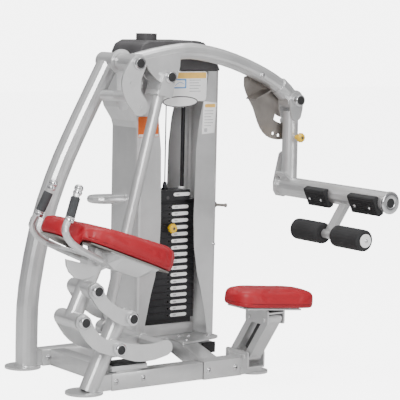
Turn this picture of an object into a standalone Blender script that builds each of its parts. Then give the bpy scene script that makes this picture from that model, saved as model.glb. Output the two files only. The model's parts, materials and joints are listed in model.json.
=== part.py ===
"""Selectorised glute kick-back machine: welded frame, swinging exercise arm, rocking
chest carriage, side-shifting knee pad and shrouded weight stack.
Units are metres, +Z up, X along the machine's long axis, +Y toward the weight tower.
The drawing below uses the front post's foot as its zero; SHIFT moves every piece so the
origin sits under the middle of the whole machine."""
import bpy
import bmesh
import math
from mathutils import Vector, Matrix

# ---- driving dimensions -------------------------------------------------------------
SHIFT = Vector((-0.62739, -0.2080, 0.0))
GAP = 0.0004                      # air between neighbouring pieces
RAIL_H, RAIL_Z = 0.076, 0.003     # 3 in base tube and its height off the floor
FOOT_R, FOOT_T = 0.0825, 0.010    # round foot plates
POST_R = 0.042                    # front post tube
ARCH_R = 0.051                    # arch frame tube
ARM_R = 0.038                     # 3 in arm tube
ARM_Y = 0.400                     # plane the exercise arm swings in
O = (0.470, 1.390)                # main pivot (x, z)
S = (0.650, 1.326)                # rod pivot on the arm
T = (1.400, 1.208)                # foot-arm pivot
R_END = (0.355, 0.190)            # rod pivot on the rocker beam
P1, P2 = (0.113, 0.196), (0.174, 0.324)      # link pivots on the post
Q1, Q2 = (-0.065, 0.328), (-0.004, 0.456)    # link pivots on the carriage
LINK_Y, LINK_T = 0.089, 0.010     # mid plane and thickness of the link plates
BAR_Z, BAR_R, BAR_Y0, BAR_Y1 = 0.787, 0.047, -0.330, 0.446   # foot bar
ROLL = (1.285, 0.615)             # foam-roller axle
STACK_X, STACK_Y0, STACK_Y1 = 0.791, 0.530, 0.635
OPEN_X = 0.800                    # middle of the opening between the shrouds
PLATE_TOP, PITCH, PLATE_GAP = 0.7172, 0.0323, 0.0018
N_LIFT, N_REST = 4, 13
TOWER_X0, TOWER_X1, TOWER_Y0, TOWER_Y1 = 0.570, 1.030, 0.475, 0.709
PAD_TILT = 0.3230                 # chest pad slopes 18.5 degrees down toward the tower end
KNEE_X0, KNEE_X1 = 0.8225, 0.8925
KNEE_LOW, KNEE_TOP = (-0.055, 0.055, 0.088), (-0.195, -0.085, 0.278)

MATERIALS = {
    'silver': ((0.56, 0.56, 0.55), 0.38, 0.75), 'steel': ((0.50, 0.48, 0.46), 0.42, 0.9),
    'chrome': ((0.82, 0.82, 0.83), 0.12, 1.0), 'charcoal': ((0.055, 0.055, 0.06), 0.5, 0.0),
    'rubber': ((0.02, 0.02, 0.02), 0.8, 0.0), 'iron': ((0.035, 0.035, 0.037), 0.55, 0.2),
    'vinyl': ((0.62, 0.012, 0.03), 0.42, 0.0), 'yellow': ((0.85, 0.52, 0.02), 0.35, 0.0),
    'white': ((0.85, 0.85, 0.84), 0.4, 0.0), 'grip': ((0.05, 0.052, 0.056), 0.75, 0.0),
    'foam': ((0.025, 0.025, 0.027), 0.9, 0.0)}


# ---- mesh builders ------------------------------------------------------------------
def obj_from(verts, faces):
    me = bpy.data.meshes.new('m')
    me.from_pydata([tuple(v) for v in verts], [], faces)
    bm = bmesh.new()
    bm.from_mesh(me)
    bmesh.ops.recalc_face_normals(bm, faces=bm.faces)
    bm.to_mesh(me)
    bm.free()
    ob = bpy.data.objects.new('m', me)
    bpy.context.scene.collection.objects.link(ob)
    return ob


def loft(rings):
    """Closed skin through equal-length rings, flat ends."""
    n = len(rings[0])
    verts = [v for ring in rings for v in ring]
    faces = [list(range(n))[::-1], [(len(rings) - 1) * n + i for i in range(n)]]
    for k in range(len(rings) - 1):
        for i in range(n):
            j = (i + 1) % n
            faces.append([k * n + i, k * n + j, (k + 1) * n + j, (k + 1) * n + i])
    return obj_from(verts, faces)


def plate(outline, y0, y1):
    """Flat plate: (x, z) outline between two y planes."""
    return loft([[(x, y0, z) for x, z in outline], [(x, y1, z) for x, z in outline]])


def box(x0, x1, y0, y1, z0, z1):
    ring = [(x0, y0), (x1, y0), (x1, y1), (x0, y1)]
    return loft([[(x, y, z) for x, y in ring] for z in (z0, z1)])


def slab(outline, z0, z1):
    return loft([[(x, y, z) for x, y in outline] for z in (z0, z1)])


def frame_of(d):
    d = Vector(d).normalized()
    a = Vector((0, 1, 0)) if abs(d.y) < 0.9 else Vector((1, 0, 0))
    u = a.cross(d).normalized()
    return u, d.cross(u).normalized()


def cyl(p0, p1, r, n=20, r1=None):
    p0, p1 = Vector(p0), Vector(p1)
    u, v = frame_of(p1 - p0)
    turn = [2 * math.pi * (i + 0.5) / n for i in range(n)]
    return loft([[p + u * (rr * math.cos(a)) + v * (rr * math.sin(a)) for a in turn]
                 for p, rr in ((p0, r), (p1, r if r1 is None else r1))])


def ycyl(c, y0, y1, r, n=20):
    return cyl((c[0], y0, c[1]), (c[0], y1, c[1]), r, n)


def turned(p0, axis, profile, n=20):
    """Solid of revolution: profile is (distance along axis, radius)."""
    p0 = Vector(p0)
    d = Vector(axis).normalized()
    u, v = frame_of(d)
    turn = [2 * math.pi * (i + 0.5) / n for i in range(n)]
    return loft([[p0 + d * s + u * (r * math.cos(a)) + v * (r * math.sin(a)) for a in turn]
                 for s, r in profile])


def smooth(points, per):
    """Catmull-Rom curve through the points."""
    pts = [Vector(p) for p in points]
    pts = [pts[0] * 2 - pts[1]] + pts + [pts[-1] * 2 - pts[-2]]
    out = []
    for i in range(1, len(pts) - 2):
        a, b, c, d = pts[i - 1:i + 3]
        for k in range(per):
            t = k / per
            out.append(0.5 * ((2 * b) + (c - a) * t + (2 * a - 5 * b + 4 * c - d) * t * t
                              + (3 * b - a - 3 * c + d) * t ** 3))
    return out + [pts[-2]]


def sweep(path, r, n=18):
    """Round bar along a path, frames carried along without twist."""
    path = [Vector(p) for p in path]
    rings = []
    u = None
    for i, p in enumerate(path):
        t = (path[min(i + 1, len(path) - 1)] - path[max(i - 1, 0)]).normalized()
        if u is None:
            u, v = frame_of(t)
        u = (u - t * u.dot(t)).normalized()
        v = t.cross(u)
        rings.append([p + u * (r * math.cos(2 * math.pi * k / n))
                      + v * (r * math.sin(2 * math.pi * k / n)) for k in range(n)])
    return loft(rings)


def bar(p0, p1, w, h, side):
    """Rectangular bar from p0 to p1: w along `side`, h across it."""
    p0, p1 = Vector(p0), Vector(p1)
    t = (p1 - p0).normalized()
    s = Vector(side)
    s = (s - t * s.dot(t)).normalized() * (w / 2)
    q = t.cross(s).normalized() * (h / 2)
    return loft([[p + s + q, p - s + q, p - s - q, p + s - q] for p in (p0, p1)])


def band(line, half, n_cap=8):
    """Outline of a strip of changing half-width along a 2-D centre line, round ends."""
    pts = [Vector((a, b)) for a, b in line]
    left, right = [], []
    for i, p in enumerate(pts):
        t = (pts[min(i + 1, len(pts) - 1)] - pts[max(i - 1, 0)]).normalized()
        nrm = Vector((-t.y, t.x))
        left.append(p + nrm * half[i])
        right.append(p - nrm * half[i])
    t1 = (pts[-1] - pts[-2]).normalized()
    t0 = (pts[0] - pts[1]).normalized()
    cap1 = [pts[-1] + half[-1] * (Vector((-t1.y, t1.x)) * math.cos(a) + t1 * math.sin(a))
            for a in [math.pi * k / n_cap for k in range(1, n_cap)]]
    cap0 = [pts[0] + half[0] * (Vector((-t0.y, t0.x)) * math.cos(a) + t0 * math.sin(a))
            for a in [math.pi * k / n_cap for k in range(1, n_cap)]]
    return [(p.x, p.y) for p in left + cap1 + right[::-1] + cap0]


def line2(points, per):
    return [(p.x, p.z) for p in smooth([(x, 0, z) for x, z in points], per)]


def rounded(corners, r, seg=4):
    """2-D polygon with every corner rounded."""
    out = []
    n = len(corners)
    for i in range(n):
        p, a, b = (Vector(corners[i]), Vector(corners[i - 1]), Vector(corners[(i + 1) % n]))
        d0, d1 = (a - p), (b - p)
        k = min(r, d0.length * 0.45, d1.length * 0.45)
        s, e = p + d0.normalized() * k, p + d1.normalized() * k
        for j in range(seg + 1):
            t = j / seg
            q = s * (1 - t) ** 2 + p * (2 * t * (1 - t)) + e * t * t
            out.append((q.x, q.y))
    return out


def apply_boolean(ob, other, operation):
    mod = ob.modifiers.new('b', 'BOOLEAN')
    mod.object = other
    mod.operation = operation
    mod.solver = 'EXACT'
    deps = bpy.context.evaluated_depsgraph_get()
    me = bpy.data.meshes.new_from_object(ob.evaluated_get(deps))
    ob.modifiers.clear()
    ob.data = me
    bpy.data.objects.remove(other, do_unlink=True)
    return ob


def fuse(first, *others):
    for other in others:
        apply_boolean(first, other, 'UNION')
    return first


def cut(first, *others):
    for other in others:
        apply_boolean(first, other, 'DIFFERENCE')
    return first


def tidy(ob):
    bm = bmesh.new()
    bm.from_mesh(ob.data)
    bmesh.ops.remove_doubles(bm, verts=bm.verts, dist=0.00002)
    bmesh.ops.dissolve_degenerate(bm, edges=bm.edges, dist=0.00002)
    flat = [v for v in bm.verts if len(v.link_edges) == 2]
    bmesh.ops.dissolve_verts(bm, verts=flat)
    bmesh.ops.recalc_face_normals(bm, faces=bm.faces)
    bm.to_mesh(ob.data)
    bm.free()


def node(name, ob, mat, pivot=(0, 0, 0), sharp=35):
    """Name the piece, give it its own material and put its origin on its pivot."""
    tidy(ob)
    ob.name = name
    ob.data.name = name
    pv = Vector(pivot)
    ob.data.transform(Matrix.Translation(-pv))
    ob.location = pv + SHIFT
    colour, rough, metal = MATERIALS[mat]
    m = bpy.data.materials.new(name + '_' + mat)
    m.use_nodes = True
    b = m.node_tree.nodes['Principled BSDF']
    b.inputs['Base Color'].default_value = (*colour, 1)
    b.inputs['Roughness'].default_value = rough
    b.inputs['Metallic'].default_value = metal
    m.diffuse_color = (*colour, 1)
    ob.data.materials.clear()
    ob.data.materials.append(m)
    for p in ob.data.polygons:
        p.material_index = 0
    ob.data.shade_smooth()
    ob.data.set_sharp_from_angle(angle=math.radians(sharp))
    return ob


def on(c, y=0.0):
    return (c[0], y, c[1])


# ---- base frame ---------------------------------------------------------------------
def build_base():
    z0, z1 = RAIL_Z, RAIL_Z + RAIL_H
    rail = fuse(box(0.1175, 0.5985, -0.038, 0.038, z0, z1),
                box(0.143, 0.270, -0.030, 0.030, 0.0780, 0.0874),
                box(0.118, 0.300, -0.036, 0.036, 0.0860, 0.1100))
    node('main_rail', rail, 'silver')

    post = fuse(cyl((0.0196, 0, 0.005), (0.168, 0, 0.318), POST_R, 24),
                slab([(FOOT_R * math.cos(a * math.pi / 14), FOOT_R * math.sin(a * math.pi / 14))
                      for a in range(28)], 0, FOOT_T),
                ycyl(P1, -0.080, 0.080, 0.036, 24), ycyl(P2, -0.080, 0.080, 0.036, 24),
                box(0.040, 0.117, -0.034, 0.034, 0.0065, 0.0755))
    post = cut(post, ycyl(P1, -0.1, 0.1, 0.0125, 16), ycyl(P2, -0.1, 0.1, 0.0125, 16),
               box(-0.2, 0.5, -0.2, 0.2, -0.1, 0.0))
    node('front_post', post, 'silver')

    node('cross_tube', box(0.165, 0.241, 0.0384, 0.5615, z0, z1), 'silver')
    node('side_rail', box(0.1265, 0.7815, 0.5620, 0.6380, z0, z1), 'silver')

    # diagonal tube from the main rail to the weight tower
    a, b = Vector((0.6676, 0.0, 0)), Vector((0.8620, 0.520, 0))
    t = (b - a).normalized()
    s = Vector((t.y, -t.x, 0)) * 0.047
    k0 = (0.0410 - a.y) / t.y
    ends = [a + t * k0, b]
    left, right = ends[0] - s, ends[0] + s
    left = left + t * ((0.0410 - left.y) / t.y)
    right = right + t * ((0.0410 - right.y) / t.y)
    node('diagonal_tube', slab([(left.x, left.y), (right.x, right.y),
                                (b + s).to_2d()[:], (b - s).to_2d()[:]], z0, z1), 'silver')

    node('tower_foot_tube', box(0.936, 1.012, 0.447, 0.760, z0, 0.053), 'silver')
    floor = slab(rounded([(0.742, 0.330), (0.985, 0.392), (1.012, 0.420), (1.012, 0.466),
                          (0.979, 0.468), (0.979, 0.700), (0.628, 0.700), (0.628, 0.520), (0.770, 0.480)], 0.02, 3),
                 z1 + GAP, z1 + GAP + 0.010)
    node('tower_floor_plate', floor, 'steel')

    node('link_stop_bumper', slab(rounded([(0.126, -0.036), (0.300, -0.036),
                                           (0.300, 0.036), (0.126, 0.036)], 0.015, 3),
                                  0.1104, 0.1230), 'rubber')


def build_arch():
    path = smooth([(0.062, 0.597, 0.006), (0.062, 0.597, 0.200), (0.073, 0.597, 0.370),
                   (0.128, 0.596, 0.640), (0.203, 0.594, 0.856), (0.283, 0.590, 1.030),
                   (0.372, 0.585, 1.202), (0.460, 0.575, 1.374)], 2)
    foot = slab([(0.043 + FOOT_R * math.cos(a * math.pi / 14),
                  0.597 + FOOT_R * math.sin(a * math.pi / 14)) for a in range(28)], 0, FOOT_T)
    far = band([(0.476, 1.365), (0.478, 1.280), (0.484, 1.200)], [0.034, 0.030, 0.032], 6)
    arch = fuse(sweep(path, ARCH_R, 18), foot, ycyl(O, 0.476, 0.630, 0.041, 20),
                ycyl(O, 0.4700, 0.4800, 0.058, 24), plate(far, 0.4705, 0.4795),
                cyl((0.395, 0.592, 1.236), (0.450, 0.474, 1.238), 0.026, 16),
                cyl((0.450, 0.476, 1.238), (0.452, 0.3375, 1.238), 0.026, 16),
                box(0.080, 0.126, 0.566, 0.634, 0.0065, 0.0755))
    arch = cut(arch, ycyl(O, 0.3, 0.7, 0.0165, 16), box(-0.2, 0.5, 0.4, 0.8, -0.1, 0.0))
    node('arch_frame', arch, 'silver')

    near = band(line2([(0.470, 1.390), (0.441, 1.335), (0.431, 1.290), (0.447, 1.240),
                       (0.482, 1.195)], 3),
                [0.042, 0.044, 0.046, 0.048, 0.050, 0.050, 0.049, 0.047, 0.045, 0.044,
                 0.043, 0.042, 0.042])
    hanger = fuse(plate(near, 0.3270, 0.3370),
                  turned((0.429, 0.3275, 1.303), (0, -1, 0), [(0, 0.008), (0.006, 0.007)], 8),
                  turned((0.482, 0.3275, 1.190), (0, -1, 0), [(0, 0.008), (0.006, 0.007)], 8))
    node('hanger_plate', cut(hanger, ycyl(O, 0.3, 0.35, 0.0165, 16)), 'silver')
    node('main_pivot_pin', turned(on(O, 0.3120), (0, 1, 0), [
        (0.0, 0.026), (0.003, 0.031), (0.0145, 0.031), (0.0146, 0.016), (0.3185, 0.016),
        (0.3186, 0.034), (0.3260, 0.034), (0.3280, 0.030)], 16), 'chrome')


# ---- exercise arm ---------------------------------------------------------------------
def build_arm():
    y = ARM_Y
    T3 = (T[0], y, T[1])
    path = smooth([(0.474, y, 1.391), (0.601, y, 1.419), (0.753, y, 1.441), (0.852, y, 1.437),
                   (0.985, y, 1.412), (1.112, y, 1.373), (1.228, y, 1.326), (1.310, y, 1.283),
                   (1.360, y, 1.245)], 2)
    gus = [(0.516, 1.405), (0.616, 1.424), (0.716, 1.440), (0.713, 1.372), (0.700, 1.322),
           (0.681, 1.298), (0.655, 1.289), (0.625, 1.294), (0.590, 1.312), (0.550, 1.350)]
    arm = fuse(sweep(path, ARM_R, 18), ycyl(O, 0.3385, 0.4680, 0.040, 20),
               ycyl(T, 0.3636, 0.4364, 0.047, 20),
               cyl((1.322, y, 1.276), (1.362, y, 1.2435), 0.0450, 18),
               bar((1.352, y, 1.252), T3, 0.0700, 0.064, (0, 1, 0)),
               plate(gus, y - 0.046, y - 0.036), plate(gus, y + 0.036, y + 0.046),
               ycyl(S, y - 0.037, y + 0.037, 0.024, 16))
    arm = cut(arm, ycyl(O, 0.3, 0.5, 0.0165, 16), ycyl(T, 0.3, 0.5, 0.0125, 16),
              ycyl(S, 0.3, 0.5, 0.0105, 16))
    node('exercise_arm', arm, 'silver', on(O, y))

    out = line2([(1.154, 1.318), (1.155, 1.270), (1.181, 1.214), (1.209, 1.172),
                 (1.229, 1.124), (1.255, 1.071), (1.294, 1.032), (1.338, 1.015),
                 (1.382, 1.012), (1.430, 1.022), (1.456, 1.060), (1.452, 1.130),
                 (1.450, 1.200), (1.425, 1.252), (1.370, 1.262), (1.300, 1.300),
                 (1.230, 1.336)], 2)
    rom = plate(out, 0.4466, 0.4546)
    slot = [(T[0] + r * math.cos(math.radians(a)), T[1] + r * math.sin(math.radians(a)))
            for r, turn in ((0.090, range(-82, -131, -8)), (0.118, range(-124, -81, 8)))
            for a in turn]
    rib = loft([[(1.168, yy, 1.212), (1.264, yy, 1.252), (1.262, yy, 1.258),
                 (1.166, yy, 1.218)] for yy in (0.372, 0.450)])
    rom = fuse(rom, rib, ycyl((1.200, 1.316), 0.4390, 0.450, 0.014, 12),
               ycyl((1.262, 1.292), 0.4390, 0.450, 0.014, 12))
    holes = [ycyl((T[0] - 0.178 * math.sin(math.radians(a)),
                   T[1] - 0.178 * math.cos(math.radians(a))), 0.43, 0.46, 0.0085, 12)
             for a in (0, 11, 22)]
    rom = cut(rom, plate(slot, 0.43, 0.46), ycyl(T, 0.43, 0.46, 0.0125, 16), *holes)
    node('range_plate', rom, 'steel')
    node('foot_arm_pivot_pin', turned(on(T, 0.3240), (0, 1, 0), [
        (0.0, 0.024), (0.003, 0.029), (0.0295, 0.029), (0.0296, 0.012), (0.1309, 0.012),
        (0.1310, 0.022), (0.1370, 0.022), (0.1390, 0.019)], 16), 'chrome')


def build_foot_arm():
    y = ARM_Y
    cheek = band([(T[0], T[1]), (T[0], 1.165), (T[0], 1.140)], [0.040, 0.038, 0.032], 6)
    gus = [(1.384, 0.956), (1.370, 0.946), (1.350, 0.863), (1.338, 0.806), (1.340, 0.766),
           (1.356, 0.742), (1.400, 0.734), (1.440, 0.748), (1.450, 0.790), (1.446, 0.850),
           (1.436, 0.930)]
    fa = fuse(cyl((T[0], y, 1.154), (1.402, y, BAR_Z), ARM_R, 24),
              ycyl((1.400, BAR_Z), BAR_Y0 - 0.0100, BAR_Y1 - 0.004, BAR_R, 24),
              ycyl((1.400, BAR_Z), BAR_Y0 - 0.0140, BAR_Y0, 0.050, 24),
              plate(gus, BAR_Y1 - 0.010, BAR_Y1),
              bar((1.345, y, 0.858), (1.395, y, 0.815), 0.070, 0.010, (0, 1, 0)),
              plate(cheek, 0.3542, 0.3632), plate(cheek, 0.4370, 0.4460),
              ycyl((1.400, 1.104), y, 0.4580, 0.0100, 12),
              ycyl((1.400, 1.104), 0.4575, 0.4630, 0.0160, 12),
              ycyl((1.400, 1.104), 0.3560, y, 0.0110, 10),
              ycyl((T[0], 1.030), 0.3500, y, 0.0135, 14))
    fa = cut(fa, ycyl(T, 0.3, 0.5, 0.0125, 16), ycyl((T[0], 1.030), 0.3, 0.5, 0.0070, 12))
    node('foot_arm', fa, 'silver', on(T, y))
    for name, y0, y1 in (('foot_pad_rear', 0.045, 0.192), ('foot_pad_front', -0.308, -0.125)):
        n = Vector((-0.906, -0.423))
        t = Vector((-0.423, 0.906))
        c = Vector((1.400, BAR_Z))
        ring = rounded([c + n * a + t * b for a, b in ((0.030, 0.046), (0.064, 0.046),
                                                      (0.064, -0.046), (0.030, -0.046))], 0.010, 3)
        pad = cut(plate(ring, y0, y1), ycyl((1.400, BAR_Z), -0.6, 0.6, BAR_R + GAP, 24))
        node(name, pad, 'rubber')

    yh = -0.050
    hang = fuse(bar((1.384, yh, 0.756), (1.290, yh, 0.618), 0.050, 0.024, (0, 1, 0)),
                ycyl(ROLL, -0.3146, 0.1846, 0.0090, 12),
                ycyl(ROLL, yh - 0.028, yh + 0.028, 0.0210, 16),
                ycyl(ROLL, -0.3146, -0.3086, 0.0300, 16), ycyl(ROLL, 0.1786, 0.1846, 0.0300, 16))
    hang = cut(hang, ycyl((1.400, BAR_Z), -0.6, 0.6, BAR_R + GAP, 24))
    node('roller_hanger', hang, 'silver')
    for name, y0, y1 in (('foam_roller_front', -0.3080, -0.1100),
                         ('foam_roller_rear', -0.0170, 0.1780)):
        body = turned(on(ROLL, y0), (0, 1, 0), [
            (0, 0.042), (0.006, 0.049), (0.014, 0.050), (y1 - y0 - 0.014, 0.050),
            (y1 - y0 - 0.006, 0.049), (y1 - y0, 0.042)], 24)
        node(name, cut(body, ycyl(ROLL, -0.5, 0.5, 0.0100, 12)), 'foam', on(ROLL, y0))

    node('foot_arm_pull_pin', turned((T[0], 0.3030, 1.030), (0, 1, 0), [
        (0.0, 0.011), (0.003, 0.0185), (0.010, 0.0225), (0.019, 0.0225), (0.026, 0.017),
        (0.031, 0.011), (0.0465, 0.0105), (0.0466, 0.0060), (0.1405, 0.0060),
        (0.1425, 0.0045)], 16), 'yellow', (T[0], 0.3030, 1.030))


# ---- push rod and rocker linkage ----------------------------------------------------
def build_linkage():
    y = ARM_Y
    d = (Vector((R_END[0], 0, R_END[1])) - Vector((S[0], 0, S[1]))).normalized()
    p = Vector(on(S, y))
    k = p + d * 0.088
    cheek = [(S[0] - 0.030, S[1] + 0.012), (S[0] - 0.012, S[1] + 0.030),
             (S[0] + 0.012, S[1] + 0.031), (S[0] + 0.031, S[1] + 0.012),
             (S[0] + 0.033, S[1] - 0.010), (k.x + 0.042, k.z - 0.004),
             (k.x - 0.038, k.z + 0.002)]
    a, b = p + d * 0.070, p + d * 0.090
    rod = fuse(plate(cheek, y - 0.0560, y - 0.0468), plate(cheek, y + 0.0468, y + 0.0560),
               bar(a, b, 0.100, 0.080, (0, 1, 0)),
               cyl(p + d * 0.084, Vector(on(R_END, y)) - d * 0.030, 0.026, 20),
               ycyl(R_END, y - 0.022, y + 0.022, 0.036, 20))
    rod = cut(rod, ycyl(S, 0.3, 0.5, 0.0105, 16), ycyl(R_END, 0.3, 0.5, 0.0190, 16))
    node('push_rod', rod, 'silver', on(S, y))
    node('rod_pivot_pin', turned(on(S, 0.3250), (0, 1, 0), [
        (0.0, 0.024), (0.003, 0.029), (0.0186, 0.029), (0.0187, 0.010), (0.1313, 0.010),
        (0.1314, 0.020), (0.1370, 0.020), (0.1390, 0.017)], 16), 'chrome')

    low = band(line2([Q1, (-0.022, 0.262), (0.030, 0.220), P1, (0.178, 0.178), (0.225, 0.169),
                      (0.295, 0.168), (0.355, 0.180)], 2),
               [0.034, 0.033, 0.032, 0.031, 0.031, 0.031, 0.032, 0.034, 0.036, 0.037, 0.037,
                0.037, 0.036, 0.035, 0.035], 7)
    ln = fuse(plate(low, -LINK_Y - LINK_T / 2, -LINK_Y + LINK_T / 2),
              plate(low, LINK_Y - LINK_T / 2, LINK_Y + LINK_T / 2),
              ycyl((0.352, 0.186), -LINK_Y, 0.3700, 0.026, 20),
              ycyl(R_END, 0.3650, 0.4300, 0.0155, 16), ycyl(R_END, 0.4290, 0.4370, 0.0280, 16))
    ln = cut(ln, *[ycyl(c, -0.2, 0.2, 0.0125, 12) for c in (P1, Q1)])
    node('lower_link', ln, 'silver', on(P1))

    up = band(line2([Q2, (0.030, 0.401), (0.082, 0.359), (0.130, 0.334), P2], 2),
              [0.033, 0.031, 0.030, 0.029, 0.029, 0.031, 0.033, 0.034, 0.034], 7)
    for name, yc in (('upper_link_front', -LINK_Y), ('upper_link_rear', LINK_Y)):
        pl = plate(up, yc - LINK_T / 2, yc + LINK_T / 2)
        node(name, cut(pl, *[ycyl(c, -0.2, 0.2, 0.0125, 12) for c in (P2, Q2)]), 'silver',
             on(P2, yc))
    for name, c in (('link_pin_post_lower', P1), ('link_pin_post_upper', P2),
                    ('link_pin_carriage_lower', Q1), ('link_pin_carriage_upper', Q2)):
        node(name, turned(on(c, -0.1140), (0, 1, 0), [
            (0.0, 0.024), (0.003, 0.029), (0.0195, 0.029), (0.0196, 0.012), (0.2084, 0.012),
            (0.2085, 0.026), (0.2180, 0.026), (0.2200, 0.022)], 16), 'chrome', on(c))


# ---- chest carriage -----------------------------------------------------------------
def pad_point(u, v, w):
    """Chest-pad coordinates: u down the pad, v across, w up from its underside."""
    c, s = math.cos(PAD_TILT), math.sin(PAD_TILT)
    return (0.105 + u * c + w * s, v, 0.623 - u * s + w * c)


def offset_outline(ring, grow):
    out = []
    for i, (u, v) in enumerate(ring):
        a, b = Vector(ring[i - 1]), Vector(ring[(i + 1) % len(ring)])
        t = (b - a).normalized()
        out.append((u - t.y * grow, v + t.x * grow))
    return out


def torso_point(u, v, w):
    """As pad_point, with the underside falling away toward the nose and a lower head end."""
    drop = 0.004 + 0.042 * (u + 0.186)
    if w > 0:
        drop *= 1 - w / 0.078
        w *= 1 - 0.9 * max(0.0, 0.014 - u)
    return pad_point(u, v, w - drop)


def elbow_point(u, v, w):
    """As pad_point, with the underside rising toward the head end."""
    lift = 0.18 * (-0.152 - u) * (1 - (w + 0.044) / 0.105)
    return pad_point(u, v, w + lift)


def chest_outline(grow=0.0):
    """Torso cushion from above: blunt at the head end, long straight flanks, round nose."""
    half = [(-0.186, 0.000), (-0.186, 0.050), (-0.178, 0.084), (-0.158, 0.112),
            (-0.126, 0.132), (-0.080, 0.142), (0.060, 0.145), (0.150, 0.142),
            (0.220, 0.131), (0.275, 0.109), (0.312, 0.077), (0.330, 0.040), (0.336, 0.000)]
    return offset_outline(half + [(u, -v) for u, v in half[-2:0:-1]], grow)


def elbow_outline(grow=0.0):
    """Narrower, deeper head end of the cushion, between the handles."""
    half = [(-0.312, 0.000), (-0.310, 0.056), (-0.301, 0.080), (-0.283, 0.093),
            (-0.258, 0.098), (-0.212, 0.097), (-0.188, 0.084), (-0.170, 0.065),
            (-0.156, 0.035), (-0.152, 0.000)]
    return offset_outline(half + [(u, -v) for u, v in half[-2:0:-1]], grow)


def pad_block(u0, u1, v, w0, w1):
    return loft([[pad_point(u, vv, w) for vv, w in ((-v, w0), (v, w0), (v, w1), (-v, w1))]
                 for u in (u0, u1)])


def cushion(outline_at, place, levels):
    return loft([[place(u, v, w) for u, v in outline_at(-inset)] for w, inset in levels])


def build_carriage():
    t = (Vector(Q2) - Vector(Q1)).normalized()
    top = Vector(Q1) + t * 0.262
    body = fuse(cyl((Q1[0], 0, Q1[1]), (top.x, 0, top.y), ARM_R, 24),
                ycyl(Q1, -0.080, 0.080, 0.036, 24), ycyl(Q2, -0.080, 0.080, 0.036, 24))
    # trough under the pad, spine joining it to the tube, bar between the handle roots
    trough = loft([[torso_point(u, v, w) for v, w in (
        (-0.096, -0.0054), (0.096, -0.0054), (0.096, -0.0110), (0.055, -d), (-0.055, -d),
        (-0.096, -0.0110))] for u, d in ((-0.035, 0.020), (-0.005, 0.054), (0.030, 0.072),
                                         (0.160, 0.068), (0.198, 0.048), (0.225, 0.018))])
    spine = plate([(-0.012, 0.580), (-0.010, 0.548), (0.060, 0.530), (0.150, 0.560),
                   (0.190, 0.568), (0.060, 0.618), (0.030, 0.628), (0.022, 0.600)],
                  -0.030, 0.030)
    disc = [(-0.124, 0.594), (0.036, 0.548), (0.022, 0.522), (-0.008, 0.506),
            (-0.044, 0.501), (-0.080, 0.511), (-0.107, 0.536), (-0.121, 0.566)]
    body = fuse(body, spine, plate(disc, -0.044, -0.032), trough,
                pad_block(-0.260, -0.060, 0.060, -0.0640, -0.0546),
                ycyl((0.033, 0.570), -0.0700, 0.0700, 0.0170, 14))
    body = cut(body, *[ycyl(c, -0.2, 0.2, 0.0125, 12) for c in (Q1, Q2)])
    node('chest_carriage', body, 'silver', on(Q1))
    pan = cut(cushion(chest_outline, torso_point, [(-0.0050, 0.017), (-0.0004, 0.015)]),
              pad_block(-0.300, -0.1480, 0.300, -0.020, 0.010))
    pan = fuse(pan, cushion(elbow_outline, elbow_point, [(-0.0510, 0.013), (-0.0444, 0.011)]),
               pad_block(-0.178, -0.1395, 0.035, -0.0508, -0.0450),
               pad_block(-0.1475, -0.1397, 0.0345, -0.0500, -0.0075))
    node('chest_pad_pan', pan, 'steel')
    levels = [(0.0, 0.014), (0.006, 0.004), (0.018, 0.0), (0.056, 0.002),
              (0.068, 0.008), (0.075, 0.020), (0.078, 0.040)]
    low = [(w - 0.044, i) for w, i in ((0.0, 0.014), (0.006, 0.004), (0.018, 0.0),
                                       (0.084, 0.002), (0.098, 0.009), (0.105, 0.022))]
    node('chest_pad', fuse(cushion(chest_outline, torso_point, levels),
                           cushion(elbow_outline, elbow_point, low)), 'vinyl', sharp=60)

    for tag, sg in (('front', -1), ('rear', 1)):
        pts = [(0.033, 0.0825, 0.570), (-0.004, 0.124, 0.590), (-0.099, 0.140, 0.636),
               (-0.160, 0.141, 0.676), (-0.186, 0.136, 0.722), (-0.172, 0.126, 0.760),
               (-0.150, 0.1195, 0.790), (-0.118, 0.1075, 0.868), (-0.108, 0.1035, 0.886)]
        path = smooth([(x, sg * yy, z) for x, yy, z in pts], 2)
        ball = Vector((-0.103, sg * 0.1020, 0.895))
        g0, g1 = Vector((-0.1545, sg * 0.1210, 0.780)), Vector((-0.1180, sg * 0.1075, 0.868))
        ax = (g1 - g0).normalized()
        h = fuse(sweep(path[:11] + [g0 - ax * 0.012, g0, g1 + ax * 0.012], 0.0155, 12),
                 turned(ball - ax * 0.016, ax, [(-0.010, 0.0175), (0.0, 0.0190), (0.006, 0.0150),
                                                (0.012, 0.0180), (0.022, 0.0180), (0.030, 0.0110)],
                        14),
                 turned(g0 - ax * 0.024, ax, [(0, 0.0185), (0.004, 0.0205), (0.012, 0.0205),
                                              (0.015, 0.0180), (0.022, 0.0210)], 14))
        node('handle_' + tag, h, 'silver')
        grip = cut(turned(g0, ax, [(0.0006, 0.0190), (0.003, 0.0200), (0.084, 0.0200),
                                   (0.0866, 0.0190)], 16),
                   cyl(g0 - ax * 0.05, g1 + ax * 0.05, 0.0166, 12))
        node('hand_grip_' + tag, grip, 'grip')


# ---- knee pad on its sideways parallelogram ------------------------------------------
def knee_point(u, v, w):
    c, s = math.cos(0.087), math.sin(0.087)
    return (0.850 + u * c + w * s, -0.145 + v, 0.329 - u * s + w * c)


def knee_outline(grow=0.0):
    ring = rounded([(-0.196, -0.106), (0.238, -0.106), (0.238, 0.106), (-0.196, 0.106)], 0.098, 7)
    return offset_outline(ring, -grow)


def ear(x0, x1, pts, r):
    ring = rounded(pts, r, 3)
    return loft([[(x, yy, z) for yy, z in ring] for x in (x0, x1)])


def xcyl(x0, x1, yy, z, r, n=14):
    return cyl((x0, yy, z), (x1, yy, z), r, n)


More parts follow.
